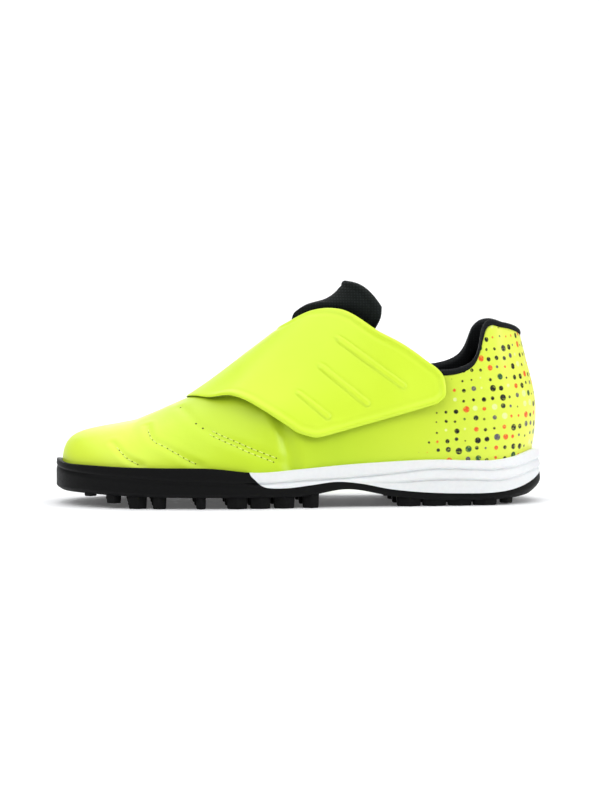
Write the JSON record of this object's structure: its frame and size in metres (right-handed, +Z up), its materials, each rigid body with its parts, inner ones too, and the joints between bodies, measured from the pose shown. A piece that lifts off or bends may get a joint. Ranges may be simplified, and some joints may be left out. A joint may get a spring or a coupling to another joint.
{
  "type": "turf shoe",
  "caption": "Child's low turf football shoe for the left foot, with a wide strap over the instep, a foam heel wedge and a lugged rubber sole.",
  "frame": {"origin": "on the floor under the middle of the shoe's bounding box", "axes": "+X from toe to heel, +Y towards the inner side of the foot, +Z up"},
  "size_m": [0.2187, 0.0815, 0.0993],
  "materials": {
    "outsole_rubber": "black moulded rubber, satin, matt on the lugs",
    "midsole_foam": "white moulded EVA foam with a fine satin skin",
    "insole_sock": "dark grey cloth over foam",
    "upper_synthetic": "neon yellow-green synthetic leather, soft sheen, printed dots at the heel",
    "strap_synthetic": "neon yellow-green synthetic leather with raised bars",
    "tongue_textile": "black padded textile",
    "collar_textile": "black padded lining textile"
  },
  "bodies": {
    "root": {"outsole": "outsole_rubber", "midsole": "midsole_foam", "insole": "insole_sock", "upper": "upper_synthetic", "strap": "strap_synthetic", "tongue": "tongue_textile", "collar": "collar_textile"}
  },
  "joints": []
}
